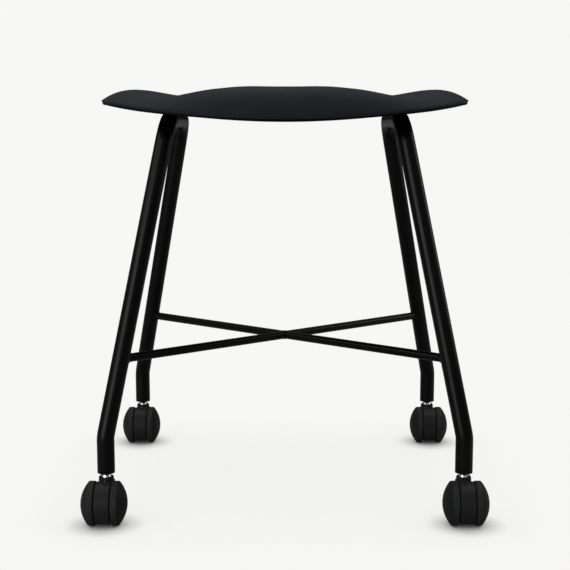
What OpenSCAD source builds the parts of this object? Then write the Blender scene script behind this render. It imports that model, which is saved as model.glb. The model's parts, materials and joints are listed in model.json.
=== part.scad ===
// Rolling stool: a dished four-lobed seat on two bent tube frames, an X of
// stretcher rods and four twin-wheel swivel casters.
// Front is -Y, right is +X, and the floor is Z = 0 under the seat's middle.

/* [Seat] */
// Width of the seat along X
seat_w = 447; // [420:1:460]
// Depth of the seat along Y
seat_d = 384; // [370:1:400]
// Exponent of the outline, from 2 for an ellipse to 4 for a soft square
seat_square = 2.37; // [2.1:0.01:3.5]
// Height of the flat middle of the sitting surface
dish_z = 481; // [480:0.5:484]
// Highest point of the left and right lobes
side_lobe_z = 489.9; // [485:0.1:495]
// Highest point of the front and rear lobes
end_lobe_z = 489.8; // [485:0.1:495]
// Height of the valleys between the lobes, at the four corners
valley_z = 477.8; // [474:0.1:482]
// Height of the rolled rim at the middle of the front and rear
rim_low_z = 454.6; // [448:0.1:462]
// How much higher the rim is at the left and right tips
rim_rise = 22.7; // [10:0.1:28]
// Thickness of the soft skin in the middle of the seat
skin_t = 3.5; // [2.5:0.1:4]
// Thickness of the soft skin at the rim
skin_rim_t = 2.8; // [1.5:0.1:3]
// Thickness of the moulded shell in the middle of the seat
shell_t = 5; // [4.5:0.1:5]
// Thickness of the moulded shell at the rim
shell_rim_t = 2.1; // [1.5:0.1:3]

/* [Frame] */
// Outside diameter of the bent tube
tube_d = 20; // [18:0.5:22]
// Wall thickness of the bent tube
tube_wall = 1.5; // [1.2:0.1:2]
// Distance of each foot's axis from the middle, along X
foot_x = 204; // [195:1:215]
// Distance of each foot's axis from the middle, along Y
foot_y = 173; // [165:1:180]
// Height of the bottom end of each foot
foot_z = 55; // [54:0.1:60]
// Height where the upright foot turns into the slanted leg
kink_z = 96.6; // [90:0.1:110]
// Distance of the top run's axis from the middle, along X
run_x = 135.7; // [128:0.1:140]
// Distance of the leg's upper corner from the middle, along Y
run_y = 96.4; // [88:0.1:100]
// Height of the top run's axis
run_z = 454; // [450:0.5:460]
// Centreline radius of the upper bends
top_bend_r = 32; // [24:1:40]
// Centreline radius of the bend above each foot
foot_bend_r = 28; // [24:1:40]
// Diameter of the stretcher rods
rod_d = 10; // [8:0.5:12]
// Height of the stretcher rods' axes
rod_z = 182.7; // [150:0.1:220]
// Thickness of the cross straps under the seat
strap_t = 4; // [3:0.5:5]
// Width of the cross straps under the seat
strap_w = 30; // [25:1:34]
// Distance of each cross strap's middle from the seat's middle
strap_y = 42; // [35:1:46]

/* [Casters] */
// Diameter of the wheels
wheel_d = 50; // [48:0.5:52]
// Width over both wheels of a caster
caster_w = 52.6; // [50:0.1:56]
// Distance from the swivel axis to the axle
trail = 20; // [18:0.5:22]
// Width of the hood between the wheels
hood_w = 17.5; // [16:0.1:18]
// Width of the tread band on each wheel
tread_w = 7.4; // [6:0.1:8]
// Radial thickness of the tread band
tread_t = 3; // [2:0.1:4]
// Height of the top rim of the hood's neck
neck_z = 51; // [50.5:0.1:53]
// Gap under the hood
hood_clear = 4.6; // [3:0.1:8]
// Diameter of the stem's upper part
stem_d = 8; // [7.5:0.1:8.5]
// Diameter of the stem's journal in the hood
journal_d = 8; // [7:0.1:9]
// Diameter of the axle
axle_d = 6; // [5:0.1:8]

/* [Hidden] */
$fn = 96;

fit_gap = 0.05;         // clearance of a pin in its bore, on the radius
touch_gap = 0.02;       // gap between parts that are welded or bonded

// Corners, as the signs of X and Y
FRONT_LEFT = [-1, -1];
FRONT_RIGHT = [1, -1];
REAR_LEFT = [-1, 1];
REAR_RIGHT = [1, 1];
CORNERS = [FRONT_LEFT, FRONT_RIGHT, REAR_LEFT, REAR_RIGHT];

// ---- seat surface ----
SECTORS = 56;
RINGS = 14;
crest_at_end = 0.79;    // where the lobes crest, as a fraction of the way from the middle to the rim
crest_at_side = 0.82;
floor_ends = 0.6;       // where the flat floor ends, as a fraction of the way to the crest
end_lobe_angles = [17, 47.5];   // the end lobe is level up to the first angle and gone at the second
side_lobe_angles = [11, 47.7];
end_roll = 2.4;         // exponent of the roll from crest to rim
side_roll = 2.2;

function ease(u) = let (c = max(0, min(1, u))) c * c * (3 - 2 * c);
function mix(p, q, u) = p + (q - p) * u;
function fade(angle, limits) = 1 - ease((angle - limits[0]) / (limits[1] - limits[0]));
// Angle from the nearer end of the Y axis, from 0 at front and rear to 90 at the sides
function from_end(a) = acos(abs(cos(a)));
function outline(a) = pow(pow(abs(sin(a)), seat_square) + pow(abs(cos(a)), seat_square), -1 / seat_square);
function crest_z(a) = valley_z + (end_lobe_z - valley_z) * fade(from_end(a), end_lobe_angles)
    + (side_lobe_z - valley_z) * fade(90 - from_end(a), side_lobe_angles);
function crest_at(a) = mix(crest_at_end, crest_at_side, ease(from_end(a) / 90));
function roll(a) = mix(end_roll, side_roll, ease(from_end(a) / 90));
function rim_z(a) = rim_low_z + rim_rise * pow(outline(a) * sin(a), 2);
function floor_to_crest(s, a) = mix(dish_z, crest_z(a), ease((s / crest_at(a) - floor_ends) / (1 - floor_ends)));
function crest_to_rim(s, a) =
    mix(crest_z(a), rim_z(a), pow((s - crest_at(a)) / (1 - crest_at(a)), roll(a)));
function seat_z(s, a) = s <= crest_at(a) ? floor_to_crest(s, a) : crest_to_rim(s, a);
// Point of the sitting surface: s runs from 0 in the middle to 1 at the rim, a turns from the front
function seat_point(s, a) = [
    seat_w / 2 * s * outline(a) * sin(a),
    -seat_d / 2 * s * outline(a) * cos(a),
    seat_z(s, a)
];
function unit(v) = v / norm(v);
step = 0.004;
function seat_normal(s, a) = let (
    out = seat_point(min(1, s + step), a) - seat_point(max(step, s - step), a),
    around = seat_point(max(step, s), a + 1) - seat_point(max(step, s), a - 1)
) unit(cross(out, around));
// The sitting surface moved down its normal: depths are those in the middle and at the rim
function sunk_point(s, a, depths) = s == 0
    ? [0, 0, dish_z - depths[0]]
    : seat_point(s, a) - mix(depths[0], depths[1], ease((s - 0.5) / 0.5)) * seat_normal(s, a);
function ring_at(i) = pow(i / RINGS, 0.75);

// Closed solid between two depths under the sitting surface
module seat_layer(upper, lower) {
    skin_points = [for (side = [upper, lower])
        concat([sunk_point(0, 0, side)],
            [for (i = [1:RINGS], j = [0:SECTORS - 1]) sunk_point(ring_at(i), 360 * j / SECTORS, side)])];
    count = len(skin_points[0]);
    function at(i, j) = 1 + (i - 1) * SECTORS + j % SECTORS;
    top = concat(
        [for (j = [0:SECTORS - 1]) [0, at(1, j), at(1, j + 1)]],
        [for (i = [1:RINGS - 1], j = [0:SECTORS - 1], half = [0, 1]) half == 0
            ? [at(i, j), at(i + 1, j), at(i + 1, j + 1)]
            : [at(i, j), at(i + 1, j + 1), at(i, j + 1)]]);
    bottom = [for (f = top) [f[0] + count, f[2] + count, f[1] + count]];
    rim = [for (j = [0:SECTORS - 1], half = [0, 1]) half == 0
        ? [at(RINGS, j), at(RINGS, j) + count, at(RINGS, j + 1) + count]
        : [at(RINGS, j), at(RINGS, j + 1) + count, at(RINGS, j + 1)]];
    faces = [for (f = concat(top, bottom, rim)) [f[2], f[1], f[0]]];
    polyhedron(concat(skin_points[0], skin_points[1]), faces);
}

// ---- seat fixings ----
boss_d = 15;
insert_d = 7;
insert_h = 4.4;
screw_d = 5;
screw_head_d = 9.5;
screw_head_h = 2.8;
screw_reach = 4;        // how far a screw goes into its insert
hex_key = 3;            // across flats
shell_under_z = dish_z - skin_t - shell_t;
strap_top_z = run_z + 9;    // the straps lie a little below the top of the tubes
boss_root = 2;              // how far a boss reaches into the shell
screw_x = [-96, -32, 32, 96];

module seat_skin() {
    color("#2c2e31") seat_layer([0, 0], [skin_t, skin_rim_t]);
}

module at_screws() {
    for (x = screw_x, side = [-1, 1]) translate([x, side * strap_y, 0]) children();
}

module seat_shell() {
    color("#1f2022") difference() {
        union() {
            seat_layer([skin_t + touch_gap, skin_rim_t + touch_gap],
                [skin_t + shell_t, skin_rim_t + shell_rim_t]);
            at_screws() translate([0, 0, strap_top_z + touch_gap])
                cylinder(h = shell_under_z + boss_root - strap_top_z, d = boss_d);
        }
        at_screws() translate([0, 0, strap_top_z - 1]) cylinder(h = insert_h + 1 + touch_gap, d = insert_d);
    }
}

module seat_inserts() {
    color("#b08d57") at_screws() translate([0, 0, strap_top_z + touch_gap]) difference() {
        cylinder(h = insert_h - touch_gap, d = insert_d - 2 * touch_gap);
        translate([0, 0, -1]) cylinder(h = insert_h + 2, d = screw_d + 2 * touch_gap);
    }
}

module seat_screws() {
    color("#3a3b3d") at_screws() translate([0, 0, strap_top_z - strap_t - touch_gap]) difference() {
        union() {
            translate([0, 0, -screw_head_h]) cylinder(h = screw_head_h, d1 = screw_head_d - 3, d2 = screw_head_d);
            cylinder(h = strap_t + screw_reach, d = screw_d);
        }
        translate([0, 0, -screw_head_h - 1]) cylinder(h = 2.6, d = hex_key / cos(30), $fn = 6);
    }
}

// ---- frame ----
// Corners of the right frame's axis, from the front foot to the rear foot
RIGHT_PATH = [
    [foot_x, -foot_y, foot_z], [foot_x, -foot_y, kink_z], [run_x, -run_y, run_z],
    [run_x, run_y, run_z], [foot_x, foot_y, kink_z], [foot_x, foot_y, foot_z]
];
BENDS = [0, foot_bend_r, top_bend_r, top_bend_r, foot_bend_r, 0];

// A tube thins a little where it is bent, and each straight laps into its bends
bend_thinning = 0.06;
bend_lap = 0.05;

function turn_angle(path, i) = acos(unit(path[i] - path[i - 1]) * unit(path[i + 1] - path[i]));
function tangent_length(path, bends, i) = bends[i] == 0 ? 0 : bends[i] * tan(turn_angle(path, i) / 2);

// Round bar from p to q, made longer by extra at each end
module bar(p, q, d, extra = 0) {
    v = q - p;
    translate(p - unit(v) * extra)
        rotate([0, acos(v[2] / norm(v)), atan2(v[1], v[0])])
            cylinder(h = norm(v) + 2 * extra, d = d);
}

// Quarter or less of a ring, tangent to the two straights that meet at corner i
module bend(path, bends, i, d) {
    into = unit(path[i] - path[i - 1]);
    away = unit(path[i + 1] - path[i]);
    axis = unit(cross(into, away));
    radial = -cross(axis, into);
    centre = path[i] - into * tangent_length(path, bends, i) - radial * bends[i];
    multmatrix([
        [radial[0], into[0], axis[0], centre[0]],
        [radial[1], into[1], axis[1], centre[1]],
        [radial[2], into[2], axis[2], centre[2]],
        [0, 0, 0, 1]
    ]) rotate_extrude(angle = turn_angle(path, i)) translate([bends[i], 0]) circle(d = d - bend_thinning);
}

module bent_bar(path, bends, d, extra = 0) {
    last = len(path) - 1;
    for (i = [0:last - 1]) {
        along = unit(path[i + 1] - path[i]);
        start = path[i] + along * (i == 0 ? -extra : tangent_length(path, bends, i) - bend_lap);
        end = path[i + 1] - along * (i == last - 1 ? -extra : tangent_length(path, bends, i + 1) - bend_lap);
        bar(start, end, d);
    }
    for (i = [1:last - 1]) bend(path, bends, i, d);
}

module side_frame(side) {
    color("#161617") mirror([side < 0 ? 1 : 0, 0, 0]) difference() {
        bent_bar(RIGHT_PATH, BENDS, tube_d);
        bent_bar(RIGHT_PATH, BENDS, tube_d - 2 * tube_wall, 1);
    }
}

// Point of a leg's axis at height z
function leg_point(corner, z) = let (u = (z - kink_z) / (run_z - kink_z)) [
    corner[0] * mix(foot_x, run_x, u), corner[1] * mix(foot_y, run_y, u), z
];

module leg_outside(corner) {
    bar(leg_point(corner, kink_z + 20), leg_point(corner, run_z - 60), tube_d + 2 * touch_gap);
}

module long_rod_solid(d) {
    bar(leg_point(FRONT_RIGHT, rod_z), leg_point(REAR_LEFT, rod_z), d);
}

module stretcher_long_rod() {
    color("#161617") difference() {
        long_rod_solid(rod_d);
        leg_outside(FRONT_RIGHT);
        leg_outside(REAR_LEFT);
    }
}

module stretcher_half_rod(corner) {
    color("#161617") difference() {
        bar([0, 0, rod_z], leg_point(corner, rod_z), rod_d);
        leg_outside(corner);
        long_rod_solid(rod_d + 2 * touch_gap);
    }
}

module cross_strap(side) {
    color("#161617") difference() {
        translate([-run_x, side * strap_y - strap_w / 2, strap_top_z - strap_t]) cube([2 * run_x, strap_w, strap_t]);
        for (x = [-run_x, run_x]) translate([x, side * strap_y, run_z]) rotate([90, 0, 0])
            cylinder(h = strap_w + 2, d = tube_d + 2 * touch_gap, center = true);
        for (x = screw_x) translate([x, side * strap_y, strap_top_z - strap_t - 1])
            cylinder(h = strap_t + 2, d = screw_d + 0.5);
    }
}

// ---- casters ----
wheel_r = wheel_d / 2;
wheel_in = hood_w / 2 + 0.65;           // inner face of a wheel, from the caster's middle
tread_in = hood_w / 2 + 0.95;           // inner edge of the tread band
dome_in = tread_in + tread_w;           // where the dome starts
dome_h = caster_w / 2 - dome_in;
dome_edge_r = wheel_r - 0.3;
dome_r = (dome_h * dome_h + dome_edge_r * dome_edge_r) / (2 * dome_h);
axle_end = dome_in + 2;
cup_z = 48.2;                           // floor of the neck's cup
cup_d = 13.4;
neck_top_d = 15.2;
neck_base_d = hood_w - 0.3;
neck_base_z = 49.3;
neck_low_z = 40;
neck_block_z = 45;                      // top of the block that carries the neck
neck_block_y = 8.2;                     // half of the block's depth, a little inside the neck
scoop_r = 6.6;                          // the neck's rim is scooped out at front and rear
scoop_z = 48.5;
journal_end_z = 25;
collar_d = 11.8;
collar_shoulder_z = 50.6;               // where the stem's collar starts to narrow
collar_top_d = 9.4;
nose_d = 10;                            // the foot insert's nose stands out below the tube
nose_h = 1.5;
insert_len = 30;
stem_top_z = 80;
ring_z = 73;
ring_h = 2.4;
ring_depth = 0.9;

module at_foot(corner) {
    translate([corner[0] * foot_x, corner[1] * foot_y, 0]) children();
}

// Turns a lathe shape so that its axis is the axle, pointing outwards along side
module on_axle(side) {
    translate([0, -trail, wheel_r]) rotate([0, side * 90, 0]) children();
}

module foot_inserts() {
    color("#202122") for (corner = CORNERS) at_foot(corner) difference() {
        union() {
            translate([0, 0, foot_z + touch_gap])
                cylinder(h = insert_len, d = tube_d - 2 * tube_wall - 2 * touch_gap);
            translate([0, 0, foot_z - nose_h]) cylinder(h = nose_h + 1, d = nose_d);
        }
        translate([0, 0, foot_z - nose_h - 1])
            cylinder(h = insert_len + nose_h + 2, d = stem_d + 2 * touch_gap);
        translate([0, 0, ring_z - ring_h]) cylinder(h = 3 * ring_h, d = stem_d + 1);
    }
}

module stem_grip_rings() {
    color("#9a9a9a") for (corner = CORNERS) at_foot(corner) translate([0, 0, ring_z + 0.1]) difference() {
        cylinder(h = ring_h - 0.2, d = stem_d + 0.8);
        translate([0, 0, -1]) cylinder(h = ring_h + 2, d = stem_d - 2 * ring_depth + 2 * touch_gap);
        translate([stem_d / 2, 0, ring_h / 2]) cube([stem_d, 1.6, ring_h + 2], center = true);
    }
}

module stem(corner) {
    journal_r = journal_d / 2;
    collar_r = collar_d / 2;
    stem_r = stem_d / 2;
    groove_r = stem_r - ring_depth;
    collar_top = foot_z - nose_h - touch_gap;
    color("#c9ccd0") at_foot(corner) rotate_extrude() polygon([
        [0, journal_end_z + 0.2], [journal_r - 0.6, journal_end_z + 0.2], [journal_r, journal_end_z + 0.8],
        [journal_r, cup_z + fit_gap], [collar_r - 0.5, cup_z + fit_gap], [collar_r, cup_z + 0.55],
        [collar_r, collar_shoulder_z], [collar_top_d / 2, collar_top], [stem_r, collar_top],
        [stem_r, ring_z], [groove_r, ring_z], [groove_r, ring_z + ring_h], [stem_r, ring_z + ring_h],
        [stem_r, stem_top_z - 1.5], [stem_r - 1.5, stem_top_z], [0, stem_top_z]
    ]);
}

// Side view of the hood: Y to the left and right, Z up, with the swivel axis at 0
module hood_outline() {
    band_r = wheel_r - 0.6;
    difference() {
        union() {
            translate([-trail, wheel_r]) circle(r = band_r);
            polygon([
                [-neck_block_y, neck_block_z], [neck_block_y, neck_block_z],
                [neck_block_y, 42], [7.3, 33], [6.2, 24], [2, 19], [-trail, 19], [-trail, 40]
            ]);
        }
        translate([-trail - wheel_d, hood_clear - wheel_d]) square([2 * wheel_d, wheel_d]);
    }
}

module hood(corner) {
    color("#313336") at_foot(corner) difference() {
        union() {
            rotate([90, 0, 90]) translate([0, 0, -hood_w / 2]) linear_extrude(hood_w) hood_outline();
            rotate_extrude() polygon([
                [0, neck_low_z], [neck_base_d / 2, neck_low_z], [neck_base_d / 2, neck_base_z],
                [neck_top_d / 2, neck_z], [0, neck_z]
            ]);
        }
        translate([0, 0, journal_end_z]) cylinder(h = wheel_d, d = journal_d + 2 * fit_gap);
        translate([0, 0, cup_z]) cylinder(h = wheel_d, d = cup_d);
        translate([0, 0, scoop_z + scoop_r]) rotate([90, 0, 0])
            cylinder(h = neck_base_d + 2, r = scoop_r, center = true);
        on_axle(1) translate([0, 0, -hood_w]) cylinder(h = 2 * hood_w, d = axle_d + 2 * touch_gap);
    }
}

module axle(corner) {
    color("#b9bcc0") at_foot(corner) on_axle(1)
        translate([0, 0, -axle_end]) cylinder(h = 2 * axle_end, d = axle_d);
}

// The outer wheel of a caster is the one further from the stool's middle
module wheel(corner, outward) {
    seat_r = wheel_r - tread_t;
    dome_mid = dome_in + dome_h - dome_r;
    edge_angle = asin(dome_edge_r / dome_r);
    color("#2b2d30") at_foot(corner) on_axle(corner[0] * outward) difference() {
        rotate_extrude() polygon(concat(
            [[0, wheel_in], [seat_r, wheel_in], [seat_r, dome_in], [dome_edge_r, dome_in]],
            [for (k = [1:12]) let (a = edge_angle * (12 - k) / 12) [dome_r * sin(a), dome_mid + dome_r * cos(a)]]
        ));
        translate([0, 0, wheel_in - 1]) cylinder(h = axle_end + fit_gap - wheel_in + 1, d = axle_d + 2 * fit_gap);
        translate([0, 0, wheel_in - 1]) difference() {
            cylinder(h = 4, r = seat_r - 2.5);
            cylinder(h = 9, center = true, r = axle_d / 2 + 3);
        }
    }
}

module tread(corner, outward) {
    inner_r = wheel_r - tread_t + touch_gap;
    color("#3d3f42") at_foot(corner) on_axle(corner[0] * outward) rotate_extrude() polygon([
        [inner_r, tread_in], [wheel_r - 0.9, tread_in], [wheel_r, tread_in + 0.9],
        [wheel_r, dome_in - 0.7], [wheel_r - 0.5, dome_in - touch_gap], [inner_r, dome_in - touch_gap]
    ]);
}

seat_skin();
seat_shell();
seat_inserts();
seat_screws();
cross_strap(-1);  // cross_strap_front
cross_strap(1);  // cross_strap_rear
side_frame(-1);  // side_frame_left
side_frame(1);  // side_frame_right
stretcher_long_rod();
stretcher_half_rod(FRONT_LEFT);  // stretcher_half_rod_left
stretcher_half_rod(REAR_RIGHT);  // stretcher_half_rod_right
foot_inserts();
stem_grip_rings();
stem(FRONT_LEFT);  // stem_front_left
stem(FRONT_RIGHT);  // stem_front_right
stem(REAR_LEFT);  // stem_rear_left
stem(REAR_RIGHT);  // stem_rear_right
hood(FRONT_LEFT);  // hood_front_left
hood(FRONT_RIGHT);  // hood_front_right
hood(REAR_LEFT);  // hood_rear_left
hood(REAR_RIGHT);  // hood_rear_right
axle(FRONT_LEFT);  // axle_front_left
axle(FRONT_RIGHT);  // axle_front_right
axle(REAR_LEFT);  // axle_rear_left
axle(REAR_RIGHT);  // axle_rear_right
wheel(FRONT_LEFT, 1);  // outer_wheel_front_left
wheel(FRONT_RIGHT, 1);  // outer_wheel_front_right
wheel(REAR_LEFT, 1);  // outer_wheel_rear_left
wheel(REAR_RIGHT, 1);  // outer_wheel_rear_right
wheel(FRONT_LEFT, -1);  // inner_wheel_front_left
wheel(FRONT_RIGHT, -1);  // inner_wheel_front_right
wheel(REAR_LEFT, -1);  // inner_wheel_rear_left
wheel(REAR_RIGHT, -1);  // inner_wheel_rear_right
tread(FRONT_LEFT, 1);  // outer_tread_front_left
tread(FRONT_RIGHT, 1);  // outer_tread_front_right
tread(REAR_LEFT, 1);  // outer_tread_rear_left
tread(REAR_RIGHT, 1);  // outer_tread_rear_right
tread(FRONT_LEFT, -1);  // inner_tread_front_left
tread(FRONT_RIGHT, -1);  // inner_tread_front_right
tread(REAR_LEFT, -1);  // inner_tread_rear_left
tread(REAR_RIGHT, -1);  // inner_tread_rear_right
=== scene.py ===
"""The looks of the rolling stool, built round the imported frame. Metres, +Z up, front at -Y."""

import json
import math

import bmesh
import bpy
from mathutils import Matrix, Vector


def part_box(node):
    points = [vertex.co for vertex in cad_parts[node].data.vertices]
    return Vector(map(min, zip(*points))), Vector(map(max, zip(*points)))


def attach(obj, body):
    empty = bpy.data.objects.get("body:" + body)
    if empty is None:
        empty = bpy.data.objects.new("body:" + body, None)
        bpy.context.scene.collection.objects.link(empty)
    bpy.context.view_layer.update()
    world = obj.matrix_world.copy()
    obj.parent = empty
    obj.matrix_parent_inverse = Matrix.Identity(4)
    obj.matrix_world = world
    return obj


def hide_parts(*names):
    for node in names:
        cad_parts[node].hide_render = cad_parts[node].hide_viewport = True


MM = 0.001

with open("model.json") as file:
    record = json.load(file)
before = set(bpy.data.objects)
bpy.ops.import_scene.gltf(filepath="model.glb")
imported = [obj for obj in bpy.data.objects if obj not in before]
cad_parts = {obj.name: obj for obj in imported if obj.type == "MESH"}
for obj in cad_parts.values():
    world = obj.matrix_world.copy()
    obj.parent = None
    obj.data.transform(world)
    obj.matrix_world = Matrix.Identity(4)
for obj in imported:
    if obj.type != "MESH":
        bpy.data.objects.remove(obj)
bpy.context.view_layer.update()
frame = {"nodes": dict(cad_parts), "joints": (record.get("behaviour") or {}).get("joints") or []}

# ---------------------------------------------------------------- places read from the frame

CORNERS = ("front_left", "front_right", "rear_left", "rear_right")
JOINTS = {j["name"]: j for j in frame["joints"]}
SWIVEL = {c: Vector(JOINTS["swivel_" + c]["pos_m"]) for c in CORNERS}
AXLE = {c: Vector(JOINTS["outer_roll_" + c]["pos_m"]) for c in CORNERS}
WHEEL_R = (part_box("outer_tread_front_left")[1].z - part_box("outer_tread_front_left")[0].z) / 2
TRAIL = SWIVEL["front_left"].y - AXLE["front_left"].y
SKIN_LOW, SKIN_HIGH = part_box("seat_skin")
STRAP_LOW, STRAP_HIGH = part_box("cross_strap_front")
STRAP_TOP = STRAP_HIGH.z
STRAP_FRONT_Y = (STRAP_LOW.y + STRAP_HIGH.y) / 2
ROD_LOW, ROD_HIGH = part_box("stretcher_long_rod")
ROD_R = (ROD_HIGH.z - ROD_LOW.z) / 2
ROD_Z = (ROD_HIGH.z + ROD_LOW.z) / 2

# ---------------------------------------------------------------- mesh helpers

# The least angle of an edge that stays sharp, in degrees
SEAT_SHARP, WHEEL_SHARP, WELD_SHARP = 60, 35, 50


def make_object(name, verts, faces, smooth_angle=40):
    """A mesh object whose faces point outwards, smooth except across edges sharper than the angle."""
    mesh = bpy.data.meshes.new(name)
    mesh.from_pydata([tuple(v) for v in verts], [], faces)
    bm = bmesh.new()
    bm.from_mesh(mesh)
    bmesh.ops.remove_doubles(bm, verts=bm.verts, dist=1e-7)
    bmesh.ops.recalc_face_normals(bm, faces=bm.faces)
    bm.to_mesh(mesh)
    bm.free()
    obj = bpy.data.objects.new(name, mesh)
    bpy.context.scene.collection.objects.link(obj)
    shade(obj, smooth_angle)
    return obj


def shade(obj, smooth_angle=40):
    obj.data.shade_smooth()
    obj.data.set_sharp_from_angle(angle=math.radians(smooth_angle))


def place(obj, material, slot, body, *nodes):
    """Finishes a piece: its material, its body and the CAD nodes it stands for. The slot is not used."""
    obj.data.materials.clear()
    obj.data.materials.append(material)
    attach(obj, body)
    if nodes:
        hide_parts(*nodes)


def apply_modifiers(obj):
    """Swaps an object's mesh for the one that its modifiers make."""
    depsgraph = bpy.context.evaluated_depsgraph_get()
    mesh = bpy.data.meshes.new_from_object(obj.evaluated_get(depsgraph))
    obj.modifiers.clear()
    old = obj.data
    obj.data = mesh
    bpy.data.meshes.remove(old)


def lathe(profile, matrix, steps=96):
    """Vertices and faces of a closed profile of (radius, height) turned round the matrix's Z axis."""
    verts, faces, rings = [], [], []
    for radius, height in profile:
        if radius < 1e-9:
            rings.append([len(verts)] * steps)
            verts.append(matrix @ Vector((0, 0, height)))
            continue
        rings.append(list(range(len(verts), len(verts) + steps)))
        for k in range(steps):
            a = 2 * math.pi * k / steps
            verts.append(matrix @ Vector((radius * math.cos(a), radius * math.sin(a), height)))
    for lower, upper in zip(rings, rings[1:] + rings[:1]):
        for k in range(steps):
            n = (k + 1) % steps
            face = [lower[k], lower[n], upper[n], upper[k]]
            face = [v for i, v in enumerate(face) if v not in face[:i]]
            if len(face) > 2:
                faces.append(face)
    return verts, faces


def joined(*parts):
    """The vertices and faces of several parts as one list of each."""
    verts, faces = [], []
    for v, f in parts:
        start = len(verts)
        verts += list(v)
        faces += [[start + i for i in face] for face in f]
    return verts, faces


def bands(rings, around, closed=False):
    """Faces that join each ring of points to the next, and the last to the first if closed."""
    faces = []
    for i in range(rings if closed else rings - 1):
        n = (i + 1) % rings
        for k in range(around):
            m = (k + 1) % around
            faces.append([i * around + k, i * around + m, n * around + m, n * around + k])
    return faces


def arc(centre, radius, start, end, count):
    """Points of an arc in a profile, angles in degrees."""
    steps = [math.radians(start + (end - start) * k / count) for k in range(count + 1)]
    return [(centre[0] + radius * math.cos(a), centre[1] + radius * math.sin(a)) for a in steps]


# ---------------------------------------------------------------- materials

BROAD_SPAN = (0.3, 0.7)  # the part of a noise's range that most of a surface lies in
PEBBLES, PEBBLE_GRAIN, TONE_PATCHES = 1100, 2600, 14  # the skin's noise scales, per metre


def new_material(name, base, roughness, specular=0.5, metallic=0.0):
    """A Principled material, with its nodes, links and shader."""
    material = bpy.data.materials.new(name)
    material.use_nodes = True
    nodes, links = material.node_tree.nodes, material.node_tree.links
    shader = nodes["Principled BSDF"]
    shader.inputs["Base Color"].default_value = (*base, 1)
    shader.inputs["Roughness"].default_value = roughness
    shader.inputs["Specular IOR Level"].default_value = specular
    shader.inputs["Metallic"].default_value = metallic
    return material, nodes, links, shader


def object_coords(nodes):
    return nodes.new("ShaderNodeTexCoord").outputs["Object"]


def noise(nodes, links, coords, scale, detail=3.0, roughness=0.5):
    node = nodes.new("ShaderNodeTexNoise")
    node.inputs["Scale"].default_value = scale
    node.inputs["Detail"].default_value = detail
    node.inputs["Roughness"].default_value = roughness
    links.new(coords, node.inputs["Vector"])
    return node.outputs["Fac"]


def ranged(nodes, links, value, low, high, out_low, out_high):
    node = nodes.new("ShaderNodeMapRange")
    for key, number in (("From Min", low), ("From Max", high), ("To Min", out_low), ("To Max", out_high)):
        node.inputs[key].default_value = number
    links.new(value, node.inputs["Value"])
    return node.outputs["Result"]


def colour_mix(nodes, links, factor, first, second):
    node = nodes.new("ShaderNodeMix")
    node.data_type = "RGBA"
    node.inputs[6].default_value = (*first, 1)
    node.inputs[7].default_value = (*second, 1)
    links.new(factor, node.inputs[0])
    return node.outputs[2]


def bumped(nodes, links, shader, height, distance, strength, normal=None):
    node = nodes.new("ShaderNodeBump")
    node.inputs["Distance"].default_value = distance
    node.inputs["Strength"].default_value = strength
    links.new(height, node.inputs["Height"])
    if normal is not None:
        links.new(normal, node.inputs["Normal"])
    links.new(node.outputs["Normal"], shader.inputs["Normal"])
    return node.outputs["Normal"]


def skin_material():
    """Matte black soft skin with a fine pebbled grain and a faint cool tint."""
    material, nodes, links, shader = new_material("seat_skin_soft", (0.015, 0.017, 0.022), 0.6, 0.045)
    coords = object_coords(nodes)
    cells = nodes.new("ShaderNodeTexVoronoi")
    cells.feature = "F1"
    cells.inputs["Scale"].default_value = PEBBLES
    links.new(coords, cells.inputs["Vector"])
    fine = noise(nodes, links, coords, PEBBLE_GRAIN, 2)
    broad = noise(nodes, links, coords, TONE_PATCHES, 3)
    tone = colour_mix(nodes, links, broad, (0.0132, 0.0152, 0.0194), (0.0172, 0.0196, 0.0246))
    links.new(tone, shader.inputs["Base Color"])
    links.new(ranged(nodes, links, broad, *BROAD_SPAN, 0.50, 0.60), shader.inputs["Roughness"])
    first = bumped(nodes, links, shader, cells.outputs["Distance"], 0.0001, 0.35)
    bumped(nodes, links, shader, fine, 0.00004, 0.3, first)
    shader.inputs["Sheen Weight"].default_value = 0.012
    shader.inputs["Sheen Roughness"].default_value = 0.4
    return material


def plastic_material(name, dark, light, roughness, grain=3200, depth=0.00003, specular=0.15):
    """Moulded plastic with a fine spark texture and slight tone variation."""
    material, nodes, links, shader = new_material(name, dark, roughness, specular)
    coords = object_coords(nodes)
    broad = noise(nodes, links, coords, 45, 4)
    links.new(colour_mix(nodes, links, broad, dark, light), shader.inputs["Base Color"])
    polish = ranged(nodes, links, broad, *BROAD_SPAN, roughness - 0.05, roughness + 0.06)
    links.new(polish, shader.inputs["Roughness"])
    bumped(nodes, links, shader, noise(nodes, links, coords, grain, 2, 0.6), depth, 0.5)
    return material


def paint_material():
    """Black powder coat: a satin film with a very fine orange peel."""
    material, nodes, links, shader = new_material("frame_powder_coat", (0.001, 0.001, 0.001), 0.26, 0.16)
    coords = object_coords(nodes)
    broad = noise(nodes, links, coords, 20, 3)
    links.new(colour_mix(nodes, links, broad, (0.0006, 0.0006, 0.0006), (0.0012, 0.0012, 0.0012)),
              shader.inputs["Base Color"])
    links.new(ranged(nodes, links, broad, *BROAD_SPAN, 0.26, 0.34), shader.inputs["Roughness"])
    bumped(nodes, links, shader, noise(nodes, links, coords, 900, 2), 0.00004, 0.25)
    return material


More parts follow.
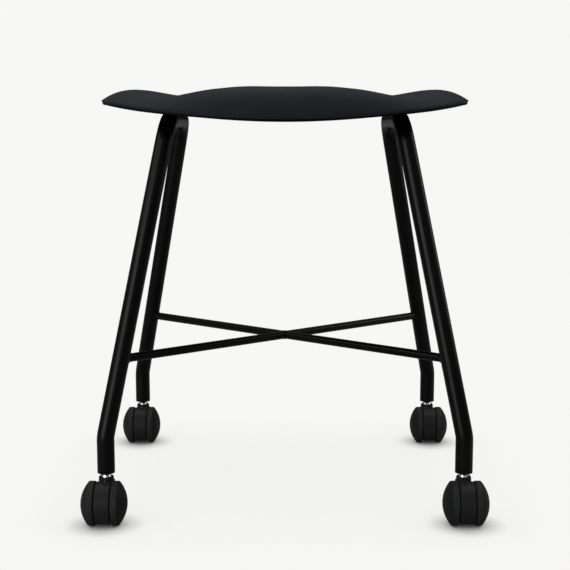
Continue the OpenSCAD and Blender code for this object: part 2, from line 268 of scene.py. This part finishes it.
def metal_material(name, dark, light, roughness, grain=700):
    """Bare or plated metal with slight tone and polish variation."""
    material, nodes, links, shader = new_material(name, dark, roughness, 0.5, 1.0)
    coords = object_coords(nodes)
    streaks = noise(nodes, links, coords, grain, 4, 0.7)
    links.new(colour_mix(nodes, links, streaks, dark, light), shader.inputs["Base Color"])
    polish = ranged(nodes, links, streaks, *BROAD_SPAN, roughness * 0.8, roughness * 1.25)
    links.new(polish, shader.inputs["Roughness"])
    bumped(nodes, links, shader, streaks, 0.00001, 0.3)
    return material


SKIN = skin_material()
PAINT = paint_material()
SHELL = plastic_material("seat_shell_plastic", (0.0016, 0.0017, 0.0019), (0.0028, 0.0029, 0.0031), 0.5,
                         specular=0.045)
HOOD = plastic_material("hood_plastic", (0.0125, 0.0129, 0.0133), (0.0165, 0.0169, 0.0173), 0.48)
WHEEL = plastic_material("wheel_plastic", (0.0092, 0.0096, 0.0100), (0.0122, 0.0126, 0.0130), 0.5)
TREAD = plastic_material("tread_rubber", (0.017, 0.0174, 0.0178), (0.025, 0.0254, 0.0258), 0.62,
                         grain=1800, depth=0.00005)
INSERT = plastic_material("insert_plastic", (0.010, 0.010, 0.010), (0.014, 0.014, 0.014), 0.45)
CHROME = metal_material("stem_chrome", (0.78, 0.79, 0.81), (0.86, 0.87, 0.88), 0.1)
AXLE_STEEL = metal_material("axle_steel", (0.50, 0.51, 0.53), (0.58, 0.59, 0.60), 0.25)
SPRING = metal_material("spring_steel", (0.38, 0.38, 0.39), (0.48, 0.48, 0.49), 0.3)
SCREW = metal_material("screw_steel", (0.07, 0.07, 0.075), (0.11, 0.11, 0.115), 0.35)
BRASS = metal_material("insert_brass", (0.60, 0.43, 0.18), (0.70, 0.52, 0.26), 0.28)

# ---------------------------------------------------------------- seat

SEAT_HALF = Vector(((SKIN_HIGH.x - SKIN_LOW.x) / 2, (SKIN_HIGH.y - SKIN_LOW.y) / 2))
SQUARE = 2.37  # power of the rim's outline: 2 would be an ellipse
DISH_Z, SIDE_LOBE_Z, END_LOBE_Z, VALLEY_Z = 481 * MM, 489.9 * MM, 489.8 * MM, 477.8 * MM
# The rim's height in the middle of the ends, and how much higher it is at the sides
RIM_LOW_Z, RIM_RISE = 454.6 * MM, 22.7 * MM
# Where the crest runs, as a part of the way out to the rim: at the ends, and at the sides
CREST_AT = (0.79, 0.82)
FLOOR_ENDS = 0.6  # where the flat floor of the dish ends, as a part of the way out to the crest
# Degrees from the middle of a lobe to where it starts to fall, and to where it has gone
END_LOBE, SIDE_LOBE = (17, 47.5), (11, 47.7)
# Small swell and fall of the end lobes' crests: degrees from the end, width in degrees, height
CREST_TRIM = ((11.5, 5, 0.35 * MM), (21.5, 4.6, -0.65 * MM))
ROLL = (2.4, 2.2)  # power of the fall from the crest to the rim: at the ends, and at the sides
# Thickness in the middle and at the rim, and where between them the change starts
SKIN_T, SHELL_T = (3.5 * MM, 2.8 * MM), (5 * MM, 2.2 * MM)
THINS_FROM = 0.5
# How far the round edges stand beyond the rim
SKIN_EDGE, SHELL_EDGE = 0.4 * MM, 1.3 * MM
# The side tips are fuller: extra depth of the shell, extra reach of the round edges as a part of
# their reach, and width in degrees
TIP_DROP, TIP_REACH, TIP_WIDTH = 1.0 * MM, 1.1, 9
BOND = 0.02 * MM  # gap between two pieces that are bonded or that rest on each other
SCREW_X = (-96 * MM, -32 * MM, 32 * MM, 96 * MM)
# A boss: radius of its bore and its outside, its reach into the shell, and its rounded foot
BOSS_BORE_R, BOSS_R, BOSS_ROOT, BOSS_ROUND = 3.5 * MM, 7.5 * MM, 0.3 * MM, (0.2 * MM, 0.15 * MM)
SECTORS, RING_POWER, BOSS_STEPS = 192, 0.75, 48


def ease(u):
    """A smooth step from 0 to 1."""
    c = max(0.0, min(1.0, u))
    return c * c * (3 - 2 * c)


def mix(p, q, u):
    return p + (q - p) * u


def fade(angle, limits):
    """1 up to the first limit, 0 from the second on, and an eased fall between them."""
    return 1 - ease((angle - limits[0]) / (limits[1] - limits[0]))


def outline(a):
    """The rim's outline in units of the seat's half width and half depth."""
    return (abs(math.sin(a)) ** SQUARE + abs(math.cos(a)) ** SQUARE) ** (-1 / SQUARE)


def seat_z(s, a):
    """Height of the sitting surface: s is 0 in the middle and 1 at the rim, a turns from the front."""
    from_end = math.degrees(math.acos(min(1, abs(math.cos(a)))))
    crest = (VALLEY_Z + (END_LOBE_Z - VALLEY_Z) * fade(from_end, END_LOBE)
             + (SIDE_LOBE_Z - VALLEY_Z) * fade(90 - from_end, SIDE_LOBE))
    crest += sum(rise * math.exp(-(((from_end - at) / width) ** 2)) for at, width, rise in CREST_TRIM)
    side = ease(from_end / 90)
    crest_at = mix(*CREST_AT, side)
    if s <= crest_at:
        return mix(DISH_Z, crest, ease((s / crest_at - FLOOR_ENDS) / (1 - FLOOR_ENDS)))
    rim = RIM_LOW_Z + RIM_RISE * (outline(a) * math.sin(a)) ** 2
    return mix(crest, rim, ((s - crest_at) / (1 - crest_at)) ** mix(*ROLL, side))


def seat_point(s, a):
    """A point of the sitting surface."""
    reach = s * outline(a)
    return Vector((SEAT_HALF.x * reach * math.sin(a), -SEAT_HALF.y * reach * math.cos(a), seat_z(s, a)))


def seat_frame(s, a):
    """Unit vectors at a point of the sitting surface: outwards along it, and up out of it."""
    step, turn = 0.004, math.radians(1)
    lean = max(step, s)
    out = (seat_point(min(1, s + step), a) - seat_point(lean - step, a)).normalized()
    around = seat_point(lean, a + turn) - seat_point(lean, a - turn)
    return out, out.cross(around).normalized()


def seat_ring(s, depths, reach=0.0):
    """A ring under the sitting surface. Depths: in the middle, at the rim, and added at the side tips."""
    points = []
    for k in range(SECTORS):
        a = 2 * math.pi * k / SECTORS
        out, up = seat_frame(s, a)
        from_side = math.degrees(math.asin(min(1, abs(math.cos(a)))))
        tip = math.exp(-((from_side / TIP_WIDTH) ** 2))
        outer = ease((s - THINS_FROM) / (1 - THINS_FROM))
        depth = mix(depths[0], depths[1] + depths[2] * tip, outer)
        points.append(seat_point(s, a) - up * depth + out * reach * (1 + TIP_REACH * tip))
    return points


def seat_rings(count):
    """Where the rings of a sheet lie, a little closer together towards the rim."""
    return [(i / count) ** RING_POWER for i in range(1, count + 1)]


def seat_sheet(name, top, bottom, edge_reach, edge_steps=8, top_rings=60, bottom_rings=60):
    """A closed sheet between two depths, with a round edge that stands edge_reach beyond the rim."""
    rings = [seat_ring(s, top) for s in seat_rings(top_rings)]
    for k in range(1, edge_steps):
        u = math.pi * k / edge_steps
        drop = (1 - math.cos(u)) / 2
        edge = (0, mix(top[1], bottom[1], drop), mix(top[2], bottom[2], drop))
        rings.append(seat_ring(1, edge, edge_reach * math.sin(u)))
    rings += [seat_ring(s, bottom) for s in reversed(seat_rings(bottom_rings))]
    verts = [p for ring in rings for p in ring]
    faces = bands(len(rings), SECTORS)
    for first, depth in ((0, top[0]), ((len(rings) - 1) * SECTORS, bottom[0])):
        pole = len(verts)
        verts.append(Vector((0, 0, DISH_Z - depth)))
        for k in range(SECTORS):
            faces.append([pole, first + k, first + (k + 1) % SECTORS])
    return make_object(name, verts, faces, SEAT_SHARP)


def add_bosses(shell):
    """Pads under the shell that rest on the cross straps, each round its threaded insert."""
    low, high = STRAP_TOP + BOND, DISH_Z - SKIN_T[0] - SHELL_T[0] + BOSS_ROOT
    profile = [(BOSS_BORE_R, low), (BOSS_R - BOSS_ROUND[0], low), (BOSS_R, low + BOSS_ROUND[1]),
               (BOSS_R, high), (BOSS_BORE_R, high)]
    bm = bmesh.new()
    bm.from_mesh(shell.data)
    for x in SCREW_X:
        for y in (STRAP_FRONT_Y, -STRAP_FRONT_Y):
            verts, faces = lathe(profile, Matrix.Translation((x, y, 0)), BOSS_STEPS)
            made = [bm.verts.new(v) for v in verts]
            for face in faces:
                bm.faces.new([made[i] for i in face])
    bm.to_mesh(shell.data)
    bm.free()
    shade(shell, SEAT_SHARP)


def build_seat():
    skin = seat_sheet("soft_seat_skin", (0, 0, 0), (*SKIN_T, 0), SKIN_EDGE, bottom_rings=16)
    place(skin, SKIN, "seat_skin", "frame", "seat_skin")
    upper = (SKIN_T[0] + BOND, SKIN_T[1] + BOND, 0)
    lower = (SKIN_T[0] + SHELL_T[0], SKIN_T[1] + SHELL_T[1], TIP_DROP)
    shell = seat_sheet("moulded_seat_shell", upper, lower, SHELL_EDGE, top_rings=16)
    add_bosses(shell)
    place(shell, SHELL, "seat_shell", "frame", "seat_shell")


# ---------------------------------------------------------------- casters

HOOD_W, HOOD_VOXEL = 17.5 * MM, 0.38 * MM
# The gap to the floor, the gap inside the wheels' outline, and the rounding of the edges
HOOD_CLEAR, HOOD_BAND_GAP, HOOD_EDGE, HOOD_EDGE_STEPS = 4.6 * MM, 0.6 * MM, 1.1 * MM, 4
BAND_TO_NECK, BAND_FROM_NECK = 55.05, -9  # degrees round the hood's band, from level at the rear
BAND_STEPS, TAIL_STEPS = 60, 16
# The rear of the block under the neck as (Y, Z), and the turned neck as (radius, Z), in millimetres
NECK_BLOCK = ((8.2, 45), (8.2, 42), (7.3, 33), (6.2, 24), (4.3, 21.5))
NECK_TURN = ((8.6, 49.2), (8.5, 49.45), (7.75, 50.75), (7.45, 51.0), (6.95, 51.0), (6.7, 50.8))
NECK_R, NECK_LOW_Z = 8.6 * MM, 40 * MM
# The floor of the collar's cup, and the round scoops in its rim
CUP_R, CUP_Z = 6.7 * MM, 48.2 * MM
SCOOP_R, SCOOP_Z = 6.6 * MM, 48.5 * MM


def hood_side():
    """The hood's side view as (Y, Z), with the swivel axis at Y = 0, going round once."""
    centre = (-TRAIL, WHEEL_R)
    band_r = WHEEL_R - HOOD_BAND_GAP
    low = math.degrees(math.asin((HOOD_CLEAR - centre[1]) / band_r))
    points = arc(centre, band_r, 180 - low, BAND_TO_NECK, BAND_STEPS)
    points += [(y * MM, z * MM) for y, z in NECK_BLOCK]
    return points + arc(centre, band_r, BAND_FROM_NECK, low, TAIL_STEPS)


def inset_loop(points, distance):
    """The loop moved inwards along its own normals."""
    moved, count = [], len(points)
    area = sum(p[0] * q[1] - q[0] * p[1] for p, q in zip(points, points[1:] + points[:1]))
    sign = 1 if area > 0 else -1
    for i, p in enumerate(points):
        before, after = Vector(points[i - 1]), Vector(points[(i + 1) % count])
        along = (after - before).normalized()
        moved.append((p[0] - sign * along.y * distance, p[1] + sign * along.x * distance))
    return moved


def hood_web():
    """The hood's body between the wheels, with rounded edges."""
    edge, steps = HOOD_EDGE, HOOD_EDGE_STEPS
    side = hood_side()
    layers = []
    for end in (-1, 1):
        turns = range(steps, -1, -1) if end < 0 else range(steps + 1)
        for k in turns:
            a = math.pi / 2 * k / steps
            inset = edge * (1 - math.cos(a))
            x = end * (HOOD_W / 2 - edge + edge * math.sin(a))
            layers.append([Vector((x, y, z)) for y, z in inset_loop(side, inset)])
    count = len(side)
    verts = [p for layer in layers for p in layer]
    faces = bands(len(layers), count)
    faces.append(list(range(count)))
    faces.append(list(range((len(layers) - 1) * count, len(layers) * count)))
    return verts, faces


def hood_neck():
    """The neck with the cup that the stem's collar sits in. Its rim is scooped at front and rear."""
    profile = [(0, NECK_LOW_Z), (NECK_R, NECK_LOW_Z)]
    profile += [(r * MM, z * MM) for r, z in NECK_TURN]
    verts, faces = lathe(profile + [(CUP_R, CUP_Z), (0, CUP_Z)], Matrix.Identity(4))
    for v in verts:
        if abs(v.x) < SCOOP_R:
            v.z = min(v.z, SCOOP_Z + SCOOP_R - math.sqrt(SCOOP_R ** 2 - v.x ** 2))
    return verts, faces


def hood_prototype():
    obj = make_object("hood_prototype", *joined(hood_web(), hood_neck()))
    remesh = obj.modifiers.new("blend", "REMESH")
    remesh.mode = "VOXEL"
    remesh.voxel_size = HOOD_VOXEL
    soften = obj.modifiers.new("soften", "SMOOTH")
    soften.factor = 0.5
    soften.iterations = 4
    apply_modifiers(obj)
    shade(obj, 180)
    return obj


def build_hoods():
    prototype = hood_prototype()
    for corner in CORNERS:
        mesh = prototype.data.copy()
        mesh.transform(Matrix.Translation((SWIVEL[corner].x, SWIVEL[corner].y, 0)))
        obj = bpy.data.objects.new("moulded_hood_" + corner, mesh)
        bpy.context.scene.collection.objects.link(obj)
        place(obj, HOOD, "hood_plastic", "caster_" + corner, "hood_" + corner)
    bpy.data.objects.remove(prototype)


def axle_matrix(corner, outward):
    """Turns a lathe shape's Z axis into the axle, pointing away from the caster's middle."""
    side = (1 if SWIVEL[corner].x > 0 else -1) * outward
    centre = Vector((SWIVEL[corner].x, AXLE[corner].y, AXLE[corner].z))
    return Matrix.Translation(centre) @ Matrix.Rotation(side * math.pi / 2, 4, "Y")


# Distances from the caster's middle to a wheel's inner face, the foot of its dome and the dome's tip
WHEEL_INNER, DOME_FOOT, DOME_TIP = 9.4 * MM, 17.1 * MM, 26.3 * MM
WHEEL_EDGE_GAP, DOME_STEPS = 0.3 * MM, 28
BORE_R, BORE_DEPTH, HUB_R, WEB_DEPTH = 3.05 * MM, 10 * MM, 6 * MM, 3 * MM
RIM_INNER_R, TREAD_SEAT_R = 19.5 * MM, 22 * MM
GROOVE_R, GROOVE_WIDTH, GROOVE_DEPTH = 17.5 * MM, 0.45 * MM, 0.22 * MM
TREAD_INNER, TREAD_OUTER, TREAD_T = 9.7 * MM, 17.08 * MM, 2.98 * MM
# The tread's rounded shoulders as (down from its top, in from its face), in millimetres
INNER_SHOULDER = ((1.1, 0), (0.35, 0.3), (0.08, 0.75), (0, 1.3))
OUTER_SHOULDER = ((0, 1.0), (0.1, 0.45), (0.5, 0))


def wheel_profile():
    """Half section of a wheel as (radius, distance from the caster's middle)."""
    inner, edge = WHEEL_INNER, WHEEL_R - WHEEL_EDGE_GAP
    height = DOME_TIP - DOME_FOOT
    ball = (height ** 2 + edge ** 2) / (2 * height)
    middle = DOME_TIP - ball
    profile = [(BORE_R, inner), (HUB_R, inner), (HUB_R + 0.2 * MM, inner + WEB_DEPTH)]
    profile += [(RIM_INNER_R - 0.2 * MM, inner + WEB_DEPTH), (RIM_INNER_R, inner + 0.3 * MM)]
    profile += [(RIM_INNER_R + 0.3 * MM, inner), (TREAD_SEAT_R - 0.3 * MM, inner)]
    profile += [(TREAD_SEAT_R, inner + 0.3 * MM), (TREAD_SEAT_R, DOME_FOOT)]
    profile += [(edge - 0.5 * MM, DOME_FOOT), (edge - 0.1 * MM, DOME_FOOT + 0.15 * MM)]
    start = math.asin((edge - 0.1 * MM) / ball)
    for k in range(1, DOME_STEPS + 1):
        a = start * (1 - k / DOME_STEPS)
        radius, out = ball * math.sin(a), middle + ball * math.cos(a)
        groove = GROOVE_DEPTH * math.exp(-(((radius - GROOVE_R) / GROOVE_WIDTH) ** 2))
        profile.append((radius, out - groove))
    return profile + [(0, inner + BORE_DEPTH), (BORE_R, inner + BORE_DEPTH)]


def tread_profile():
    """Half section of a tread, in the wheel's terms, with rounded shoulders."""
    profile = [(WHEEL_R - TREAD_T, TREAD_INNER)]
    profile += [(WHEEL_R - down * MM, TREAD_INNER + into * MM) for down, into in INNER_SHOULDER]
    profile += [(WHEEL_R - down * MM, TREAD_OUTER - into * MM) for down, into in OUTER_SHOULDER]
    return profile + [(WHEEL_R - TREAD_T, TREAD_OUTER)]


def build_wheels():
    for corner in CORNERS:
        for name, outward in (("outer", 1), ("inner", -1)):
            body = f"{name}_wheel_{corner}"
            matrix = axle_matrix(corner, outward)
            wheel = make_object(f"domed_{body}", *lathe(wheel_profile(), matrix), WHEEL_SHARP)
            place(wheel, WHEEL, "wheel_plastic", body, body)
            tread = make_object(f"{name}_tread_band_{corner}", *lathe(tread_profile(), matrix), WHEEL_SHARP)
            place(tread, TREAD, "tread_rubber", body, f"{name}_tread_{corner}")


# ---------------------------------------------------------------- welds

TUBE_R = 10 * MM
SIDE_LOW, SIDE_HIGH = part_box("side_frame_right")
# A leg's axis runs from over its foot to the corner that the top bend rounds off
LEG_LOW_Z = 96.6 * MM
LEG_TOP = Vector((SIDE_LOW.x + TUBE_R, 96.4 * MM, SIDE_HIGH.z - TUBE_R))
LEG_BEAD, CROSS_BEAD, STRAP_BEAD = 1.3 * MM, 0.7 * MM, 1.2 * MM
STRAP_BEAD_DROP = 1.6 * MM  # how far below the strap's top its bead ends
# Points along a round bead, up a strap's side and across it, and round the bead's own section
ROUND_POINTS, RISE_POINTS, RUN_POINTS, BEAD_AROUND = 84, 5, 30, 12
# Height of the ripples as a part of the radius, points from one to the next, and a bead's tapered ends
RIPPLE, RIPPLE_POINTS, TAPER = 0.09, 3.5, 0.25


def leg_axis(corner):
    """Low and high points of a leg's axis, on the signs of the corner's swivel."""
    at = SWIVEL[corner]
    top = Vector((math.copysign(LEG_TOP.x, at.x), math.copysign(LEG_TOP.y, at.y), LEG_TOP.z))
    return Vector((at.x, at.y, LEG_LOW_Z)), top


def leg_point(corner):
    """Where a stretcher rod's axis meets the axis of a leg."""
    low, top = leg_axis(corner)
    return low.lerp(top, (ROD_Z - low.z) / (top.z - low.z))


def bead(path, outs, radius, closed):
    """A rippled bead of weld along a path. Each point leans out between the two pieces it joins."""
    around, count, verts = BEAD_AROUND, len(path), []
    for i, (p, out) in enumerate(zip(path, outs)):
        before = path[i - 1] if closed or i else p
        after = path[(i + 1) % count] if closed or i < count - 1 else p
        side = (after - before).normalized().cross(out).normalized()
        end = 1 if closed else min(1, (1 + min(i, count - 1 - i)) * TAPER)
        r = radius * end * (1 + RIPPLE * math.sin(i * 2 * math.pi / RIPPLE_POINTS))
        for k in range(around):
            a = 2 * math.pi * k / around
            verts.append(p + (out * math.cos(a) + side * math.sin(a)) * r)
    faces = bands(count, around, closed)
    if not closed:
        faces += [list(range(around)), list(range((count - 1) * around, count * around))]
    return verts, faces


def rod_bead(at, along, bar_along, bar_r, radius):
    """The bead round a rod that starts at a point on a bar's axis and runs away from it."""
    first = along.orthogonal().normalized()
    second = along.cross(first)
    path, outs, count = [], [], ROUND_POINTS
    for i in range(count):
        a = 2 * math.pi * i / count
        from_rod = first * math.cos(a) + second * math.sin(a)
        flat = ROD_R * (from_rod - bar_along * from_rod.dot(bar_along))
        run = along - bar_along * along.dot(bar_along)
        b, size = flat.dot(run), run.dot(run)
        t = (-b + math.sqrt(max(0, b * b - size * (flat.dot(flat) - bar_r ** 2)))) / size
        point = at + from_rod * ROD_R + along * t
        from_bar = (flat + run * t).normalized()
        path.append(point)
        outs.append((from_rod + from_bar).normalized())
    return bead(path, outs, radius, True)


def strap_bead(side, y_middle):
    """The bead under a cross strap's end and up its two sides, against the tube."""
    half = (STRAP_HIGH.y - STRAP_LOW.y) / 2
    low, high = STRAP_LOW.z - LEG_TOP.z, STRAP_TOP - LEG_TOP.z - STRAP_BEAD_DROP
    rise = [(mix(high, low, i / RISE_POINTS), -half) for i in range(RISE_POINTS)]
    run = [(low, mix(-half, half, i / RUN_POINTS)) for i in range(RUN_POINTS + 1)]
    path = rise + run + [(z, half) for z, _ in reversed(rise)]
    points, outs = [], []
    for z, y in path:
        from_tube = Vector((-side * math.sqrt(TUBE_R ** 2 - z * z), 0, z)) / TUBE_R
        out = Vector((0, math.copysign(1, y), 0)) if abs(y) >= half else Vector((0, 0, -1))
        points.append(Vector((side * LEG_TOP.x, y_middle + y, LEG_TOP.z)) + from_tube * TUBE_R)
        outs.append((out + from_tube).normalized())
    return bead(points, outs, STRAP_BEAD, False)


def build_welds():
    beads = []
    middle = Vector((0, 0, ROD_Z))
    long_along = (leg_point("front_right") - middle).normalized()
    for corner in CORNERS:
        low, top = leg_axis(corner)
        at = leg_point(corner)
        to_middle, up_leg = (middle - at).normalized(), (top - low).normalized()
        beads.append(rod_bead(at, to_middle, up_leg, TUBE_R, LEG_BEAD))
    for corner in ("front_left", "rear_right"):
        to_leg = (leg_point(corner) - middle).normalized()
        beads.append(rod_bead(middle, to_leg, long_along, ROD_R, CROSS_BEAD))
    for side in (-1, 1):
        for y in (STRAP_FRONT_Y, -STRAP_FRONT_Y):
            beads.append(strap_bead(side, y))
    welds = make_object("frame_weld_beads", *joined(*beads), WELD_SHARP)
    place(welds, PAINT, "frame_paint", "frame")


# ---------------------------------------------------------------- CAD nodes that stay


def finish_cad_nodes():
    kept = {
        "side_frame": PAINT, "stretcher": PAINT, "cross_strap": PAINT, "stem_front": CHROME,
        "stem_rear": CHROME, "stem_grip": SPRING, "axle": AXLE_STEEL, "foot_inserts": INSERT,
        "seat_inserts": BRASS, "seat_screws": SCREW,
    }
    for name, obj in frame["nodes"].items():
        for start, material in kept.items():
            if name.startswith(start):
                obj.data.materials.clear()
                obj.data.materials.append(material)


# ---------------------------------------------------------------- stage, light and camera

CAMERA_AT, CAMERA_DOWN = Vector((0, -1.451, 0.4474)), 0.1375
FOCAL_PX, FRAME_PX, SENSOR = 1156.2, 570, 36
CLIP_END = 200
LIGHTS_AIM_AT = Vector((0, 0, 0.25))
BACKGROUND = (0.930, 0.930, 0.915)
# Each painted floor shadow: reach, openness where it is darkest and where it ends, and how dark it gets
CONTACT_SHADE = (0.030, 0.02, 0.91, 0.0)
SEAT_SHADE = (0.5, 0.8, 0.95, 0.925)
FLOOR_HALF, FLOOR_ALBEDO, SHADE_SAMPLES = 60, 0.42, 16
# The dome's strength from level to overhead, and its factors from left to right and front to rear
DOME_RISE, DOME_SIDES, DOME_DEPTH = (0.12, 0.5), (1.1, 0.9), (1.1, 0.6)


def build_stage():
    """A pale floor that meets the backdrop with no line, and darkens where something is close over it."""
    half = FLOOR_HALF
    corners = [(-half, -half, 0), (half, -half, 0), (half, half, 0), (-half, half, 0)]
    floor = make_object("floor", corners, [[0, 1, 2, 3]])
    material = bpy.data.materials.new("floor_paper")
    material.use_nodes = True
    nodes, links = material.node_tree.nodes, material.node_tree.links
    nodes.clear()
    shade_parts = []
    for reach, darkest, clear, low in (CONTACT_SHADE, SEAT_SHADE):
        cover = nodes.new("ShaderNodeAmbientOcclusion")
        cover.samples = SHADE_SAMPLES
        cover.inputs["Distance"].default_value = reach
        shade_parts.append(ranged(nodes, links, cover.outputs["AO"], darkest, clear, low, 1.0))
    both = nodes.new("ShaderNodeMath")
    both.operation = "MULTIPLY"
    links.new(shade_parts[0], both.inputs[0])
    links.new(shade_parts[1], both.inputs[1])
    # Painted shadow: the floor's glow is dimmed where occlusion finds something close over it, not shaded
    # by the lamps
    paper = nodes.new("ShaderNodeEmission")
    paper.inputs["Color"].default_value = (*BACKGROUND, 1)
    links.new(both.outputs["Value"], paper.inputs["Strength"])
    bounce = nodes.new("ShaderNodeBsdfDiffuse")
    bounce.inputs["Color"].default_value = (FLOOR_ALBEDO, FLOOR_ALBEDO, FLOOR_ALBEDO, 1)
    links.new(by_sight(nodes, links, bounce.outputs[0], paper.outputs[0]),
              nodes.new("ShaderNodeOutputMaterial").inputs["Surface"])
    floor.data.materials.append(material)


def by_sight(nodes, links, lighting, seen):
    """What lights the object, and what is seen directly behind and under it."""
    path = nodes.new("ShaderNodeLightPath")
    blend = nodes.new("ShaderNodeMixShader")
    links.new(path.outputs["Is Camera Ray"], blend.inputs["Fac"])
    links.new(lighting, blend.inputs[1])
    links.new(seen, blend.inputs[2])
    return blend.outputs["Shader"]


def build_world():
    """An even pale backdrop, and a soft dome that is brighter overhead, on the left and in front."""
    world = bpy.data.worlds.new("studio")
    bpy.context.scene.world = world
    world.use_nodes = True
    nodes, links = world.node_tree.nodes, world.node_tree.links
    nodes.clear()
    split = nodes.new("ShaderNodeSeparateXYZ")
    links.new(nodes.new("ShaderNodeTexCoord").outputs["Generated"], split.inputs["Vector"])
    strength = ranged(nodes, links, split.outputs["Z"], 0.0, 1.0, *DOME_RISE)
    for axis, ends in (("X", DOME_SIDES), ("Y", DOME_DEPTH)):
        dome = nodes.new("ShaderNodeMath")
        dome.operation = "MULTIPLY"
        links.new(strength, dome.inputs[0])
        links.new(ranged(nodes, links, split.outputs[axis], -1.0, 1.0, *ends), dome.inputs[1])
        strength = dome.outputs["Value"]
    light = nodes.new("ShaderNodeBackground")
    links.new(strength, light.inputs["Strength"])
    light.inputs["Color"].default_value = (1, 1, 1, 1)
    seen = nodes.new("ShaderNodeBackground")
    seen.inputs["Color"].default_value = (*BACKGROUND, 1)
    links.new(by_sight(nodes, links, light.outputs[0], seen.outputs[0]),
              nodes.new("ShaderNodeOutputWorld").inputs["Surface"])


def softbox(name, azimuth, elevation, distance, size, radiance):
    """A soft rectangular light that faces the stool. Azimuth 0 is the camera's side, + is rightwards."""
    a, e = math.radians(azimuth), math.radians(elevation)
    direction = Vector((math.sin(a) * math.cos(e), -math.cos(a) * math.cos(e), math.sin(e)))
    data = bpy.data.lights.new(name, "AREA")
    data.shape = "RECTANGLE"
    data.size, data.size_y = size
    data.energy = math.pi * size[0] * size[1] * radiance
    obj = bpy.data.objects.new(name, data)
    bpy.context.scene.collection.objects.link(obj)
    obj.location = LIGHTS_AIM_AT + direction * distance
    obj.rotation_mode = "QUATERNION"
    obj.rotation_quaternion = (-direction).to_track_quat("-Z", "Y")


def build_lights():
    softbox("key_left", -36, 9, 2.6, (1.7, 1.6), 3.0)
    softbox("side_left", -72, 30, 1.5, (0.5, 0.5), 1.8)
    softbox("rim_right", 100, 20, 1.3, (0.35, 0.8), 2.2)
    softbox("top_rear", 180, 76, 2.2, (1.9, 1.4), 2.7)


def build_camera():
    data = bpy.data.cameras.new("camera")
    data.sensor_width = SENSOR
    data.lens = FOCAL_PX / FRAME_PX * SENSOR
    data.clip_end = CLIP_END
    obj = bpy.data.objects.new("camera", data)
    bpy.context.scene.collection.objects.link(obj)
    obj.location = CAMERA_AT
    obj.rotation_euler = (math.pi / 2 - CAMERA_DOWN, 0, 0)
    bpy.context.scene.camera = obj


bpy.context.scene.view_settings.view_transform = "Standard"
build_camera()
build_stage()
build_world()
build_lights()
build_seat()
build_hoods()
build_wheels()
build_welds()
finish_cad_nodes()
